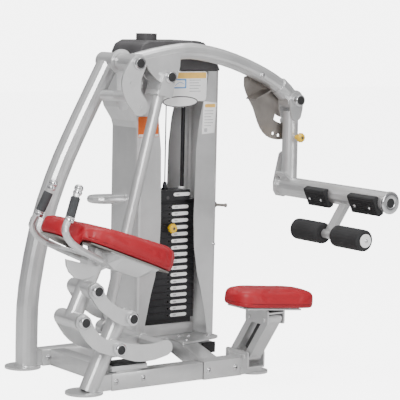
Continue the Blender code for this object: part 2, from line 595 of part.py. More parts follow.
def build_knee():
    y0, y1, zl = KNEE_LOW
    low = [(y0 - 0.028, zl + 0.024), (y0 - 0.028, 0.036), (y1 + 0.028, 0.036),
           (y1 + 0.028, zl + 0.024)]
    e0, e1 = (KNEE_X0 - 0.0135, KNEE_X0 - 0.0055), (KNEE_X1 + 0.0055, KNEE_X1 + 0.0135)
    disc = slab([(0.901 + 0.070 * math.cos(a * math.pi / 12), 0.070 * math.sin(a * math.pi / 12))
                 for a in range(24)], 0, FOOT_T)
    m = fuse(box(0.5992, 0.8080, -0.0405, 0.0405, 0.001, 0.0815), disc,
             box(0.800, 0.915, -0.050, 0.050, 0.006, 0.040),
             ear(*e0, low, 0.012), ear(*e1, low, 0.012),
             box(e0[0] + 0.001, e1[1] - 0.001, y0 - 0.027, y1 + 0.027, 0.036, 0.044),
             box(0.802, 0.8095, -0.040, 0.040, 0.004, 0.094))
    m = cut(m, box(0.58, 0.66, -0.0384, 0.0384, 0.0026, 0.0794),
            *[xcyl(0.7, 1.0, yy, zl, 0.0065, 12) for yy in (y0, y1)])
    node('knee_mount', m, 'silver')
    t0, t1, zt = KNEE_TOP
    for name, ya, yb in (('knee_link_front', y0, t0), ('knee_link_rear', y1, t1)):
        a, b = Vector((0.8575, ya, zl)), Vector((0.8575, yb, zt))
        lk = fuse(bar(a, b, KNEE_X1 - KNEE_X0, 0.036, (1, 0, 0)),
                  xcyl(KNEE_X0, KNEE_X1, ya, zl, 0.0205, 16),
                  xcyl(KNEE_X0, KNEE_X1, yb, zt, 0.0205, 16))
        for yy, z in ((ya, zl), (yb, zt)):
            lk = fuse(lk, turned((e0[0] - 0.0056, yy, z), (1, 0, 0), [
                (0, 0.0085), (0.002, 0.0110), (0.0050, 0.0110), (0.0051, 0.0060),
                (0.1031, 0.0060), (0.1032, 0.0110), (0.1080, 0.0100)], 8))
        node(name, lk, 'silver', tuple(a))
    top = [(t0 - 0.026, zt - 0.022), (t1 + 0.026, zt - 0.022), (t1 + 0.026, 0.322),
           (t0 - 0.026, 0.322)]
    c = fuse(ear(*e0, top, 0.010), ear(*e1, top, 0.010),
             box(e0[0] + 0.001, e1[1] - 0.001, t0 - 0.025, t1 + 0.025, 0.304, 0.3115),
             loft([[knee_point(u, v, w) for u, v in ((-0.150, -0.075), (0.150, -0.075),
                                                     (0.150, 0.075), (-0.150, 0.075))]
                   for w in (-0.0075, -0.0004)]))
    c = cut(c, *[xcyl(0.7, 1.0, yy, zt, 0.0065, 12) for yy in (t0, t1)],
            loft([[knee_point(u, v, w) for u, v in ((-0.3, -0.2), (0.3, -0.2),
                                                    (0.3, 0.2), (-0.3, 0.2))]
                  for w in (-0.0004, 0.2)]))
    node('knee_carrier', c, 'silver', (0.8575, t0, zt))
    levels = [(0.0, 0.016), (0.006, 0.004), (0.016, 0.0), (0.024, 0.001), (0.054, 0.002),
              (0.069, 0.008), (0.079, 0.022), (0.082, 0.042)]
    node('knee_pad', cushion(knee_outline, knee_point, levels), 'vinyl', sharp=60)


# ---- weight tower -------------------------------------------------------------------
def half_opening(z):
    tab = [(0.05, 0.190), (0.157, 0.175), (0.310, 0.142), (0.380, 0.122), (0.510, 0.100),
           (0.650, 0.094), (0.980, 0.100), (1.110, 0.115), (1.310, 0.160), (1.40, 0.165)]
    for (za, a), (zb, b) in zip(tab, tab[1:]):
        if z <= zb:
            return a + (b - a) * (z - za) / (zb - za)
    return tab[-1][1]


def shroud(side, zs, flare):
    """C-shaped sheet: front return, side, rear return, lofted up the tower."""
    th = 0.003
    rings = []
    for z in zs:
        h = half_opening(z)
        xo = (TOWER_X1 if side > 0 else TOWER_X0) + side * flare(z)
        xi = OPEN_X + side * h
        r = 0.022

        def corner(cx, cy, rad, a0, a1, n=3):
            return [(cx + rad * math.cos(math.radians(a0 + (a1 - a0) * k / n)),
                     cy + rad * math.sin(math.radians(a0 + (a1 - a0) * k / n)))
                    for k in range(n + 1)]
        yo, yn = TOWER_Y0, TOWER_Y1
        outer = [(xi, yo)] + corner(xo - r, yo + r, r, -90, 0) + corner(xo - r, yn - r, r, 0, 90)
        outer += [(xi, yn)]
        inner = [(xi, yn - th)] + corner(xo - r, yn - r, r - th, 90, 0)
        inner += corner(xo - r, yo + r, r - th, 0, -90) + [(xi, yo + th)]
        if side < 0:
            fix = [(2 * xo - x if x != xi else xi, y) for x, y in outer + inner]
            ring = [(x, y, z) for x, y in fix]
        else:
            ring = [(x, y, z) for x, y in outer + inner]
        rings.append(ring)
    return loft(rings)


def build_tower():
    def none(z):
        return 0.0

    def flare(z):
        k = min(max((z - 1.085) / 0.125, 0.0), 1.0)
        down = min(max((z - 1.235) / 0.105, 0.0), 1.0)
        return 0.062 * k * k * (3 - 2 * k) * (1 - down)
    zs = [0.157, 0.235, 0.310, 0.380, 0.450, 0.510, 0.650, 0.815, 0.980, 1.045]
    node('shroud_left', shroud(-1, [0.0892] + zs + [1.085, 1.116, 1.147, 1.178, 1.210,
                                                     1.235, 1.344], flare), 'silver', sharp=40)
    node('shroud_right', shroud(1, [0.0600] + zs + [1.110, 1.210, 1.310, 1.344], none),
         'silver', sharp=40)

    cap = [(0.568, 1.3446), (0.566, 1.430), (0.584, 1.468), (0.622, 1.4865), (0.900, 1.4865),
           (0.935, 1.478), (0.975, 1.440), (1.020, 1.370), (1.032, 1.3446)]
    node('top_cap', plate(cap, TOWER_Y0 - 0.004, TOWER_Y1 + 0.004), 'charcoal')
    ring = cut(cyl((0.690, 0.600, 1.4870), (0.690, 0.600, 1.5170), 0.049, 28),
               cyl((0.690, 0.600, 1.4920), (0.690, 0.600, 1.5300), 0.043, 28))
    node('cup_holder', ring, 'charcoal')
    node('instruction_panel', plate(rounded([(0.680, 1.205), (0.945, 1.205), (0.950, 1.3438),
                                             (0.680, 1.3438)], 0.016, 3),
                                    TOWER_Y0 - 0.0075, TOWER_Y0 - 0.0045), 'white')
    lens = [(0.794 + 0.100 * math.cos(a * math.pi / 16), 1.204 + 0.027 * math.sin(a * math.pi / 16))
            for a in range(32)]
    node('blank_badge', plate(lens, TOWER_Y0 - 0.0120, TOWER_Y0 - 0.0080), 'white')

    yc = (STACK_Y0 + STACK_Y1) / 2
    bottom = RAIL_Z + RAIL_H + GAP + 0.010
    base = box(0.655, 0.945, STACK_Y0 + 0.004, STACK_Y1 + 0.004, bottom + GAP, 0.1445)
    node('stack_base', base, 'silver')
    for tag, x in (('left', STACK_X - 0.105), ('right', STACK_X + 0.105)):
        node('guide_rod_' + tag, cyl((x, yc, 0.1449), (x, yc, 1.3442), 0.0095, 16), 'chrome')
    rods = [(STACK_X - 0.105, 0.0105), (STACK_X + 0.105, 0.0105)]

    def bored(ob, z0, z1, extra=()):
        return cut(ob, *[cyl((x, yc, z0 - 0.02), (x, yc, z1 + 0.02), r, 12)
                         for x, r in list(rods) + list(extra)])
    zb = PLATE_TOP - PITCH * (N_LIFT + N_REST)
    node('stack_cushion', bored(box(0.668, 0.932, STACK_Y0 + 0.012, STACK_Y1 - 0.012, 0.1449,
                                    zb - GAP), 0.14, zb), 'rubber')

    def comb(z_top, count):
        rings = []
        for k in range(count):
            zt = z_top - PITCH * k
            zo = zt - PITCH + PLATE_GAP
            for z, i in ((zt, 0.0), (zo, 0.0)):
                rings.append((z, i))
            if k < count - 1:
                rings += [(zo - 0.00002, 0.012), (zo - PLATE_GAP + 0.00002, 0.012)]
        x0, x1 = STACK_X - 0.149, STACK_X + 0.149
        return loft([[(x0 + i, STACK_Y0 + i, z), (x1 - i, STACK_Y0 + i, z),
                      (x1 - i, STACK_Y1 - i, z), (x0 + i, STACK_Y1 - i, z)] for z, i in rings])
    z4 = PLATE_TOP - PITCH * (N_LIFT - 0.5) + PLATE_GAP / 2
    lift = bored(comb(PLATE_TOP, N_LIFT), zb, PLATE_TOP, [(STACK_X, 0.0140)])
    lift = cut(lift, ycyl((STACK_X, z4), 0.50, 0.612, 0.0058, 10))
    node('weight_plates_lifted', lift, 'iron', (STACK_X, yc, PLATE_TOP))
    zr = PLATE_TOP - PITCH * N_LIFT - GAP
    node('weight_plates_resting', bored(comb(zr, N_REST), zb, PLATE_TOP, [(STACK_X, 0.0140)]),
         'iron')
    head = fuse(box(STACK_X - 0.149, STACK_X + 0.149, STACK_Y0 + 0.006, STACK_Y1 - 0.006,
                    PLATE_TOP + GAP, PLATE_TOP + 0.020),
                box(STACK_X - 0.108, STACK_X + 0.108, STACK_Y0 - 0.012, STACK_Y1 - 0.012,
                    PLATE_TOP + 0.018, PLATE_TOP + 0.066),
                cyl((STACK_X, yc, zb + 0.12), (STACK_X, yc, PLATE_TOP + 0.03), 0.0125, 14))
    head = bored(head, PLATE_TOP, PLATE_TOP + 0.09)
    head = cut(head, ycyl((STACK_X, z4), 0.50, 0.66, 0.0058, 10),
               cyl((STACK_X, yc, PLATE_TOP + 0.001), (STACK_X, yc, 0.9), 0.0050, 10))
    node('head_plate', head, 'iron', (STACK_X, yc, PLATE_TOP))
    node('selector_pin', turned((STACK_X, 0.4880, z4), (0, 1, 0), [
        (0.0, 0.012), (0.003, 0.0200), (0.012, 0.0225), (0.022, 0.0200), (0.027, 0.0090),
        (0.0405, 0.0090), (0.0406, 0.0048), (0.1060, 0.0048), (0.1090, 0.0030)], 16), 'yellow',
        (STACK_X, 0.4880, z4))

    rail = smooth([(0.5694, 0.590, 0.742), (0.490, 0.592, 0.744), (0.448, 0.608, 0.745),
                   (0.432, 0.645, 0.745), (0.448, 0.682, 0.745), (0.490, 0.698, 0.744),
                   (0.5694, 0.698, 0.742)], 2)
    node('step_in_rail', sweep(rail, 0.0180, 12), 'silver')
    node('towel_peg', turned((1.0325, 0.500, 0.706), (1, 0, -0.1), [
        (0, 0.014), (0.004, 0.014), (0.0041, 0.007), (0.060, 0.007), (0.062, 0.010),
        (0.068, 0.010)], 12), 'steel')


def build():
    for ob in list(bpy.data.objects):
        bpy.data.objects.remove(ob, do_unlink=True)
    build_base()
    build_arch()
    build_arm()
    build_foot_arm()
    build_linkage()
    build_carriage()
    build_knee()
    build_tower()


build()
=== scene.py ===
"""Looks for the leg kickback machine: upholstery, finishes and small trim around the CAD frame.

Sizes are metres. X runs along the machine, +Y points to the weight tower, +Z is up.
"""
import json
import math

import bmesh
import bpy
from mathutils import Matrix, Vector


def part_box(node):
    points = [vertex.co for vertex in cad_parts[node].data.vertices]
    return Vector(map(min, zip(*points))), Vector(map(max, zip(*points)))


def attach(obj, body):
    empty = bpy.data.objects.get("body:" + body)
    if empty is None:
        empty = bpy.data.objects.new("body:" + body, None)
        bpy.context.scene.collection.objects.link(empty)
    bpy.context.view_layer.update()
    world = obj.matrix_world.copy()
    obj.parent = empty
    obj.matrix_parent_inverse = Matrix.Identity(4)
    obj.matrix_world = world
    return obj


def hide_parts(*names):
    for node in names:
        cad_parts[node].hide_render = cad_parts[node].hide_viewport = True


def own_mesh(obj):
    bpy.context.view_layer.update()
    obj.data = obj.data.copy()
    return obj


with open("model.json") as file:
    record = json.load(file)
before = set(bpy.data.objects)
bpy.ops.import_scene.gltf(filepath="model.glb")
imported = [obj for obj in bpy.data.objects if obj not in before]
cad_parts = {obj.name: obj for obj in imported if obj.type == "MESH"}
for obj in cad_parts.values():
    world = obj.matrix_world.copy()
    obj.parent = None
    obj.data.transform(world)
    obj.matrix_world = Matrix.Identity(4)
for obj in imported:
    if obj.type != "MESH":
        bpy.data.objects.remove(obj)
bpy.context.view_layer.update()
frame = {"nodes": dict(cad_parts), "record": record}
NODES = frame["nodes"]
SLOT_OF = {s["node"]: s["material_slot"] for s in frame["record"]["subparts"]}

PAD_TILT = 0.3230          # slope of the chest pad, radians
KNEE_TILT = 0.0870         # slope of the knee pad
SEAM_UP = 0.018            # seam height above a cushion's underside
PIPING = 0.0028            # piping radius
SKIN_INSET = 0.0035        # how far the cover starts inside the CAD cushion
PUFF = 0.007               # most that the stuffing lifts the cover
PAD_PRESSURE = 4.0         # pressure inside the cover during the cloth run
SIM_FRAMES = 20            # length of the cloth run
CENTRE = Vector((-0.62739, -0.2080, 0))     # foot of the rail's middle plane under the post


# ---- procedural materials -----------------------------------------------------------
def shader(name, colour, rough, metal=0.0, coat=0.0, sheen=0.0):
    """A new material and its Principled node, with the plain values set."""
    mat = bpy.data.materials.new(name)
    mat.use_nodes = True
    b = mat.node_tree.nodes["Principled BSDF"]
    b.inputs["Base Color"].default_value = (*colour, 1)
    b.inputs["Roughness"].default_value = rough
    b.inputs["Metallic"].default_value = metal
    b.inputs["Coat Weight"].default_value = coat
    b.inputs["Coat Roughness"].default_value = 0.15
    b.inputs["Sheen Weight"].default_value = sheen
    return mat, b


def add(mat, kind, **values):
    """A node with its sockets, or failing those its properties, set by name."""
    n = mat.node_tree.nodes.new(kind)
    for key, v in values.items():
        if key in n.inputs:
            n.inputs[key].default_value = v
        else:
            setattr(n, key, v)
    return n


def wire(mat, a, out, b, into):
    mat.node_tree.links.new(a.outputs[out], b.inputs[into])


def vary(mat, b, colour, tint, scale, low, high, detail=4.0):
    """Slow mottling: colour drifts toward tint, roughness between low and high."""
    tc = add(mat, "ShaderNodeTexCoord")
    noise = add(mat, "ShaderNodeTexNoise", Scale=scale, Detail=detail, Roughness=0.6)
    wire(mat, tc, "Object", noise, "Vector")
    ramp = add(mat, "ShaderNodeValToRGB")
    ramp.color_ramp.elements[0].position, ramp.color_ramp.elements[1].position = 0.35, 0.68
    ramp.color_ramp.elements[0].color = (*tint, 1)
    ramp.color_ramp.elements[1].color = (*colour, 1)
    wire(mat, noise, "Fac", ramp, "Fac")
    wire(mat, ramp, "Color", b, "Base Color")
    span = add(mat, "ShaderNodeMapRange")
    span.inputs["To Min"].default_value, span.inputs["To Max"].default_value = low, high
    wire(mat, noise, "Fac", span, "Value")
    wire(mat, span, "Result", b, "Roughness")
    return tc


def relief(mat, b, height, out, strength, distance):
    """Bump from one texture output into the surface normal."""
    bump = add(mat, "ShaderNodeBump", Strength=strength, Distance=distance)
    wire(mat, height, out, bump, "Height")
    wire(mat, bump, "Normal", b, "Normal")


def powder_coat(name, colour=(0.74, 0.74, 0.74), metal=0.80):
    """Metallic powder coat: slow mottling in the colour, fine orange-peel relief."""
    mat, b = shader(name, colour, 0.34, metal, coat=0.30)
    tint = tuple(c * 0.90 for c in colour)
    tc = vary(mat, b, colour, tint, 9.0, 0.30, 0.40)
    peel = add(mat, "ShaderNodeTexNoise", Scale=650.0, Detail=2.0)
    wire(mat, tc, "Object", peel, "Vector")
    relief(mat, b, peel, "Fac", 0.06, 0.0006)
    return mat


def plated(name, colour, low, high, grain=(1, 1, 60)):
    """Rolled or brushed steel: stretched noise for the grain."""
    mat, b = shader(name, colour, low, 0.95)
    tc = vary(mat, b, colour, tuple(c * 0.80 for c in colour), 14.0, low, high)
    stretch = add(mat, "ShaderNodeMapping")
    stretch.inputs["Scale"].default_value = grain
    lines = add(mat, "ShaderNodeTexNoise", Scale=22.0, Detail=6.0)
    wire(mat, tc, "Object", stretch, "Vector")
    wire(mat, stretch, "Vector", lines, "Vector")
    relief(mat, b, lines, "Fac", 0.10, 0.0005)
    return mat


def vinyl(name, colour=(0.40, 0.0006, 0.010)):
    """Upholstery vinyl: pebbled grain, soft stretch wrinkles and a slight sheen."""
    mat, b = shader(name, colour, 0.50, 0.0, coat=0.04, sheen=0.0)
    tc = vary(mat, b, colour, tuple(c * 0.86 for c in colour), 7.0, 0.42, 0.54)
    pebble = add(mat, "ShaderNodeTexVoronoi", Scale=620.0, feature="F1")
    pull = add(mat, "ShaderNodeTexNoise", Scale=16.0, Detail=3.0, Distortion=0.6)
    wire(mat, tc, "Object", pebble, "Vector")
    wire(mat, tc, "Object", pull, "Vector")
    fine = add(mat, "ShaderNodeBump", Strength=0.16, Distance=0.0006)
    wire(mat, pebble, "Distance", fine, "Height")
    broad = add(mat, "ShaderNodeBump", Strength=0.10, Distance=0.004)
    wire(mat, pull, "Fac", broad, "Height")
    wire(mat, fine, "Normal", broad, "Normal")
    wire(mat, broad, "Normal", b, "Normal")
    return mat


def grained(name, colour, rough, scale, strength, spread=0.12, metal=0.0, coat=0.0):
    """Moulded rubber, foam, plastic or cast paint: one noise for tone, one for grain."""
    mat, b = shader(name, colour, rough, metal, coat=coat)
    light = tuple(min(1.0, c * 1.35 + 0.004) for c in colour)
    tc = vary(mat, b, light, colour, 11.0, rough - spread / 2, rough + spread / 2)
    grit = add(mat, "ShaderNodeTexNoise", Scale=scale, Detail=3.0)
    wire(mat, tc, "Object", grit, "Vector")
    relief(mat, b, grit, "Fac", strength, 0.0012)
    return mat


MATS = {
    "frame_silver": powder_coat("frame_silver"),
    "zinc_steel": plated("zinc_steel", (0.40, 0.37, 0.345), 0.34, 0.50),
    "chrome": plated("chrome", (0.83, 0.83, 0.84), 0.07, 0.16),
    "dark_rod": plated("dark_rod", (0.07, 0.07, 0.075), 0.22, 0.36),
    "charcoal_plastic": grained("charcoal_plastic", (0.050, 0.048, 0.050), 0.52, 520, 0.22),
    "black_rubber": grained("black_rubber", (0.014, 0.014, 0.015), 0.66, 380, 0.18),
    "stack_iron": grained("stack_iron", (0.020, 0.020, 0.022), 0.44, 240, 0.16, 0.16, 0.3),
    "red_vinyl": vinyl("red_vinyl"),
    "yellow_plastic": grained("yellow_plastic", (0.80, 0.47, 0.004), 0.26, 60, 0.03, 0.10, 0, 0.5),
    "white_placard": grained("white_placard", (0.93, 0.93, 0.92), 0.32, 90, 0.03, 0.08, 0, 0.3),
    "grip_rubber": grained("grip_rubber", (0.045, 0.047, 0.050), 0.72, 900, 0.45),
    "black_foam": grained("black_foam", (0.016, 0.016, 0.017), 0.80, 700, 0.50),
    "orange_print": grained("orange_print", (0.80, 0.14, 0.010), 0.35, 90, 0.03, 0.08, 0, 0.3),
    "gold_print": grained("gold_print", (0.80, 0.46, 0.10), 0.35, 90, 0.03, 0.08, 0, 0.3),
    "blue_print": grained("blue_print", (0.10, 0.28, 0.58), 0.38, 90, 0.03, 0.08),
    "grey_print": grained("grey_print", (0.42, 0.42, 0.43), 0.40, 90, 0.03, 0.08),
    "seam_shadow": grained("seam_shadow", (0.07, 0.0006, 0.003), 0.70, 500, 0.2),
}


def coat(ob, slot):
    """Gives the whole object one finish."""
    ob.data.materials.clear()
    ob.data.materials.append(MATS[slot])


for node, ob in NODES.items():
    coat(ob, SLOT_OF[node])


# ---- mesh helpers -------------------------------------------------------------------
def piece(name, verts, faces, slot, body, smooth=40):
    """A new mesh with its finish, riding on a CAD body."""
    me = bpy.data.meshes.new(name)
    me.from_pydata([tuple(v) for v in verts], [], faces)
    bm = bmesh.new()
    bm.from_mesh(me)
    bmesh.ops.recalc_face_normals(bm, faces=bm.faces)
    bm.to_mesh(me)
    bm.free()
    ob = bpy.data.objects.new(name, me)
    bpy.context.scene.collection.objects.link(ob)
    coat(ob, slot)
    me.shade_smooth()
    me.set_sharp_from_angle(angle=math.radians(smooth))
    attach(ob, body)
    return ob


def across(axis):
    """The axis as a unit vector, and two unit vectors square to it."""
    d = Vector(axis).normalized()
    a = Vector((0, 0, 1)) if abs(d.z) < 0.9 else Vector((1, 0, 0))
    u = a.cross(d).normalized()
    return d, u, d.cross(u).normalized()


def turned(name, origin, axis, profile, slot, body, n=32):
    """Solid of revolution from (distance, radius) pairs along the axis."""
    d, u, v = across(axis)
    verts, faces = [], []
    for s, r in profile:
        for i in range(n):
            a = 2 * math.pi * i / n
            verts.append(Vector(origin) + d * s + u * (r * math.cos(a)) + v * (r * math.sin(a)))
    for k in range(len(profile) - 1):
        for i in range(n):
            j = (i + 1) % n
            faces.append([k * n + i, k * n + j, (k + 1) * n + j, (k + 1) * n + i])
    faces.append(list(range(n))[::-1])
    faces.append([(len(profile) - 1) * n + i for i in range(n)])
    return piece(name, verts, faces, slot, body)


def tube(name, path, r, slot, body, n=10, closed=False):
    """Round bead along a path of points."""
    pts = [Vector(p) for p in path]
    count = len(pts)
    verts, faces = [], []
    u = None
    for i, p in enumerate(pts):
        a = pts[i - 1] if closed or i else p
        b = pts[(i + 1) % count] if closed or i < count - 1 else p
        t = (b - a).normalized()
        if u is None:
            u = across(t)[1]
        u = (u - t * u.dot(t)).normalized()
        v = t.cross(u)
        verts += [p + u * (r * math.cos(2 * math.pi * k / n))
                  + v * (r * math.sin(2 * math.pi * k / n)) for k in range(n)]
    for i in range(count if closed else count - 1):
        for k in range(n):
            m, q = (k + 1) % n, (i + 1) % count
            faces.append([i * n + k, i * n + m, q * n + m, q * n + k])
    if not closed:
        faces += [list(range(n))[::-1], [(count - 1) * n + k for k in range(n)]]
    return piece(name, verts, faces, slot, body)


def slab(name, ring, normal, thick, slot, body, bevel=0.0):
    """Thin printed or moulded plate: an outline pushed along normal, its edges eased if asked."""
    step = Vector(normal).normalized() * thick
    n = len(ring)
    verts = [Vector(p) for p in ring] + [Vector(p) + step for p in ring]
    faces = [list(range(n)), list(range(n, 2 * n))[::-1]]
    faces += [[i, (i + 1) % n, n + (i + 1) % n, n + i] for i in range(n)]
    ob = piece(name, verts, faces, slot, body)
    if bevel:
        ease(ob, bevel)
    return ob


def bare_copy(node, name):
    """A copy of a CAD node's mesh without its stored normals, as a new object."""
    ob = bpy.data.objects.new(name, NODES[node].data.copy())
    bpy.context.scene.collection.objects.link(ob)
    if ob.data.has_custom_normals:
        ob.data.attributes.remove(ob.data.attributes["custom_normal"])
    return ob


def apply_modifiers(ob):
    """Puts the modified mesh in place of the object's own, and returns it."""
    deps = bpy.context.evaluated_depsgraph_get()
    me = bpy.data.meshes.new_from_object(ob.evaluated_get(deps))
    ob.modifiers.clear()
    ob.data = me
    return me


def ease(ob, width, segments=2, angle=35):
    """Round the hard edges of a mesh for good."""
    bm = bmesh.new()
    bm.from_mesh(ob.data)
    bmesh.ops.remove_doubles(bm, verts=bm.verts, dist=1e-5)
    bmesh.ops.dissolve_limit(bm, angle_limit=math.radians(0.6), verts=bm.verts, edges=bm.edges)
    bm.to_mesh(ob.data)
    bm.free()
    mod = ob.modifiers.new("ease", "BEVEL")
    mod.width, mod.segments, mod.limit_method = width, segments, "ANGLE"
    mod.angle_limit = math.radians(angle)
    mod.use_clamp_overlap = True
    me = apply_modifiers(ob)
    me.shade_smooth()
    me.set_sharp_from_angle(angle=math.radians(50))


def eased_copy(node, body, width):
    """A softened stand-in for a square-edged CAD piece."""
    ob = bare_copy(node, node + "_eased")
    ease(ob, width)
    coat(ob, SLOT_OF[node])
    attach(ob, body)
    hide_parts(node)


def ring_xz(cx, cz, a, b, y, n=48):
    """Oval outline in an XZ plane."""
    turns = [2 * math.pi * i / n for i in range(n)]
    return [(cx + a * math.cos(t), y, cz + b * math.sin(t)) for t in turns]


def pill_xz(cx, cz, half_w, r, y, n=8):
    """Stadium outline: straight top and bottom, round ends."""
    ends = [(cx + half_w - r, -90), (cx - half_w + r, 90)]
    return [(x + r * math.cos(math.radians(a0 + 180 * k / n)), y,
             cz + r * math.sin(math.radians(a0 + 180 * k / n)))
            for x, a0 in ends for k in range(n + 1)]


# ---- upholstery ---------------------------------------------------------------------
def underside(node, tilt):
    """The normal of a cushion tilted so, and how far along it the lowest vertex lies."""
    normal = Vector((math.sin(tilt), 0, math.cos(tilt)))
    return normal, min(v.co.dot(normal) for v in NODES[node].data.vertices)


def covered(node, name, voxel):
    """An even skin a little inside a cushion's CAD solid."""
    ob = bare_copy(node, name)
    remesh = ob.modifiers.new("remesh", "REMESH")
    remesh.mode, remesh.voxel_size = "VOXEL", voxel
    shrink = ob.modifiers.new("shrink", "DISPLACE")
    shrink.mid_level, shrink.strength, shrink.direction = 0.0, -SKIN_INSET, "NORMAL"
    settle = ob.modifiers.new("settle", "SMOOTH")
    settle.factor, settle.iterations = 0.5, 6
    apply_modifiers(ob)
    return ob


def inflate(ob, held):
    """Blows the skin up as cloth under pressure, with the held vertices pinned."""
    ob.vertex_groups.new(name="board").add(held, 1.0, "REPLACE")
    cloth = ob.modifiers.new("cloth", "CLOTH")
    s = cloth.settings
    s.quality, s.mass = 5, 0.3
    s.tension_stiffness = s.compression_stiffness = s.shear_stiffness = 12
    s.bending_stiffness = 2.0
    s.use_pressure, s.uniform_pressure_force = True, PAD_PRESSURE
    s.vertex_group_mass = "board"
    s.effector_weights.gravity = 0
    cloth.collision_settings.use_collision = False
    cloth.point_cache.frame_start, cloth.point_cache.frame_end = 1, SIM_FRAMES
    for f in range(1, SIM_FRAMES + 1):
        bpy.context.scene.frame_set(f)
    apply_modifiers(ob)
    bpy.context.scene.frame_set(1)
    return [v.co.copy() for v in ob.data.vertices]


def cushion(node, body, tilt, voxel, name):
    """A stuffed cover in place of a CAD cushion. Returns it with its underside's normal and height."""
    normal, low = underside(node, tilt)
    ob = covered(node, name, voxel)
    skin = ob.data.vertices
    start = [v.co.copy() for v in skin]
    held = [v.index for v in skin if v.normal.dot(normal) < -0.75]
    moved = inflate(ob, held)
    for v, a, b in zip(ob.data.vertices, start, moved):
        d = b - a
        v.co = a + d * min(1.0, PUFF / max(d.length, 1e-9))
    soften = ob.modifiers.new("soften", "SMOOTH")
    soften.factor, soften.iterations = 0.5, 3
    ob.modifiers.new("finer", "SUBSURF").levels = 1
    apply_modifiers(ob).shade_smooth()
    ob.vertex_groups.clear()
    coat(ob, "red_vinyl")
    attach(ob, body)
    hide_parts(node)
    return ob, normal, low


def seam_loops(ob, point, normal):
    """Closed lines where a plane meets a cushion's skin, evened out, longest first."""
    bm = bmesh.new()
    bm.from_mesh(ob.data)
    cut = bmesh.ops.bisect_plane(bm, geom=bm.verts[:] + bm.edges[:] + bm.faces[:],
                                 plane_co=point, plane_no=normal)["geom_cut"]
    near = {}
    for e in (g for g in cut if isinstance(g, bmesh.types.BMEdge)):
        a, b = e.verts
        near.setdefault(a, []).append(b)
        near.setdefault(b, []).append(a)
    loops, seen = [], set()
    for v in near:
        if v in seen:
            continue
        line, at = [], v
        while at is not None:
            seen.add(at)
            line.append(at.co.copy())
            at = next((w for w in near[at] if w not in seen), None)
        loops.append(line)
    bm.free()
    loops.sort(key=len, reverse=True)
    return [even(line, 0.008) for line in loops if len(line) > 40]


def even(line, step):
    """Closed line resampled to equal steps and smoothed."""
    total = sum((line[i] - line[i - 1]).length for i in range(len(line)))
    n = max(24, int(total / step))
    out, i, run = [], 0, 0.0
    seg = [(line[(k + 1) % len(line)] - line[k]).length for k in range(len(line))]
    for k in range(n):
        goal = total * k / n
        while run + seg[i] < goal:
            run += seg[i]
            i += 1
        t = (goal - run) / max(seg[i], 1e-9)
        out.append(line[i].lerp(line[(i + 1) % len(line)], t))
    for _ in range(3):
        out = [(out[k - 1] + out[k] * 2 + out[(k + 1) % n]) / 4 for k in range(n)]
    return out


def kept_run(loop, keep):
    """The run of a closed loop where keep(point) holds, and whether it is still closed."""
    flags = [keep(p) for p in loop]
    if all(flags):
        return loop, True
    n = len(loop)
    at = next(i for i in range(n) if flags[i] and not flags[i - 1])
    run = []
    while flags[at % n]:
        run.append(loop[at % n])
        at += 1
    return run, False


def crease(ob, point, normal, depth, reach, keep):
    """Pull the skin in along a sewn line."""
    for v in ob.data.vertices:
        away = abs((v.co - point).dot(normal))
        if away < reach and keep(v.co):
            k = math.cos(math.pi / 2 * away / reach) ** 2
            side = v.normal - normal * v.normal.dot(normal)
            v.co -= side * depth * k


def sew(ob, body, tag, point, normal, keep):
    """Piping with a shadow line above it, where a plane meets the cover."""
    crease(ob, point, normal, 0.0022, 0.009, keep)
    loop, closed = kept_run(seam_loops(ob, point, normal)[0], keep)
    # the second, near-black bead just above the piping is painted shade where the cover tucks into the
    # seam
    for part, line, r, slot in (("piping", loop, PIPING, "red_vinyl"),
                                ("painted_shade_line", [p + normal * 0.0042 for p in loop], 0.0019,
                                 "seam_shadow")):
        bead = tube("%s_%s" % (tag, part), line, r, slot, body, 8, closed)
        bead.parent = ob
        bead.matrix_parent_inverse = ob.matrix_world.inverted()


CHEST_AT = CENTRE + Vector((0.105, 0, 0.623))             # middle of the cushion's base line
ALONG = Vector((math.cos(PAD_TILT), 0, -math.sin(PAD_TILT)))
chest, up, low = cushion("chest_pad", "carriage", PAD_TILT, 0.0060, "chest_cushion")
sew(chest, "carriage", "elbow_seam", up * (low + SEAM_UP), up,
    lambda p: (p - CHEST_AT).dot(ALONG) < -0.160)
fall = PAD_TILT + 0.042                                   # the torso part's underside is steeper
up = Vector((math.sin(fall), 0, math.cos(fall)))
sew(chest, "carriage", "torso_seam", CHEST_AT + up * 0.0020, up,
    lambda p: (p - CHEST_AT).dot(ALONG) > -0.165)
knee, up, low = cushion("knee_pad", "knee_top", KNEE_TILT, 0.0055, "knee_cushion")
sew(knee, "knee_top", "knee_seam", up * (low + SEAM_UP), up, lambda p: True)


# ---- eased edges on square-cut steel and mouldings ------------------------------------
for node, body, width in (
        ("main_rail", "base", 0.0045), ("cross_tube", "base", 0.0045),
        ("side_rail", "base", 0.0045), ("diagonal_tube", "base", 0.0045),
        ("tower_foot_tube", "base", 0.0040), ("stack_base", "base", 0.0030),
        ("top_cap", "base", 0.0090), ("tower_floor_plate", "base", 0.0020),
        ("link_stop_bumper", "base", 0.0025), ("instruction_panel", "base", 0.0008)):
    eased_copy(node, body, width)


